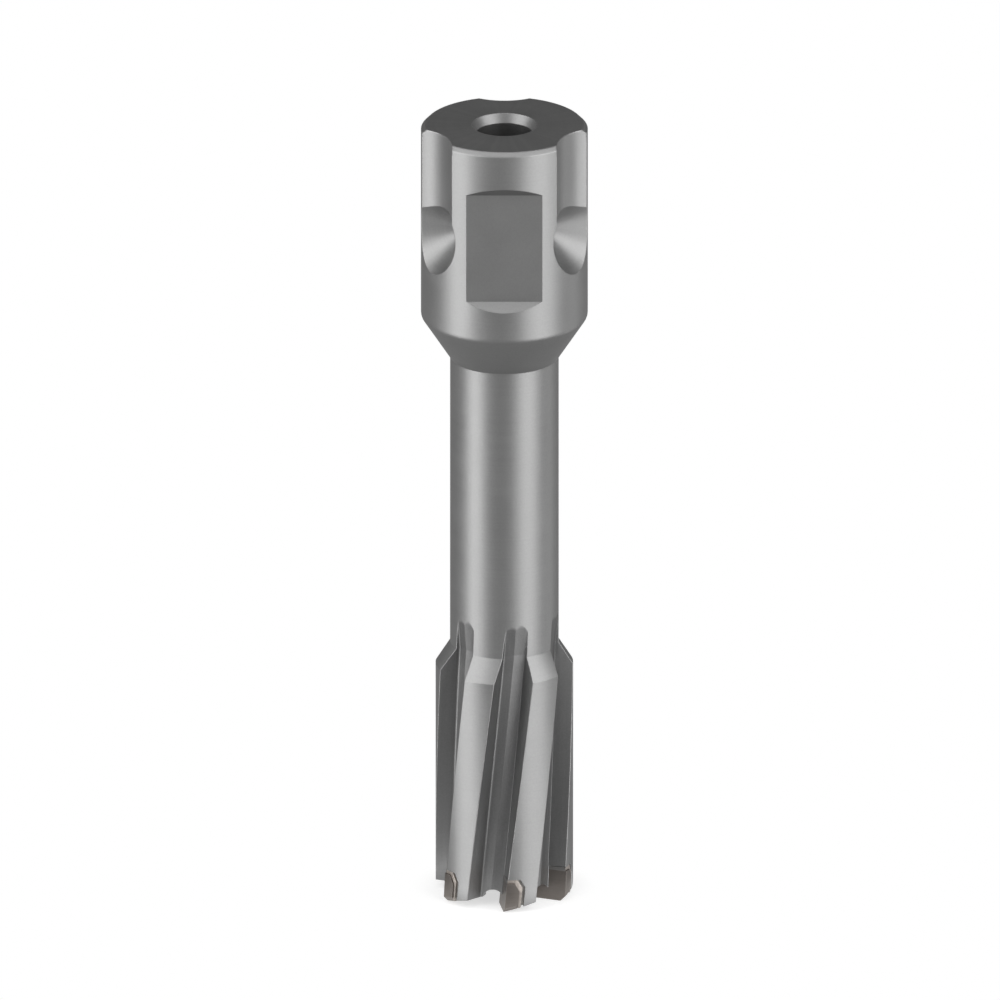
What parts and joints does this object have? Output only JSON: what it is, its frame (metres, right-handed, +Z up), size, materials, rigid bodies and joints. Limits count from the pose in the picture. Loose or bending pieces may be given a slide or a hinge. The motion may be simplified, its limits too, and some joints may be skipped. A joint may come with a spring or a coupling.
{
  "type": "annular cutter",
  "caption": "Annular cutter with a round quick-change shank, a slim neck, a hollow helically fluted head and brazed carbide tips.",
  "frame": {"origin": "on the cutter's axis, at the height of the six cutting points that it stands on", "axes": "+Z up along the axis, from the cutting points to the shank's top; -Y towards the near side of the picture, where one drive flat faces"},
  "size_m": [0.019, 0.019, 0.0931],
  "materials": {
    "tool_steel": "satin",
    "carbide": "ground, matt",
    "braze": "satin"
  },
  "bodies": {
    "root": {"cutter_body": "tool_steel", "carbide_tip_1": "carbide", "carbide_tip_2": "carbide", "carbide_tip_3": "carbide", "carbide_tip_4": "carbide", "carbide_tip_5": "carbide", "carbide_tip_6": "carbide", "braze_seam_1": "braze", "braze_seam_2": "braze", "braze_seam_3": "braze", "braze_seam_4": "braze", "braze_seam_5": "braze", "braze_seam_6": "braze"}
  },
  "joints": []
}
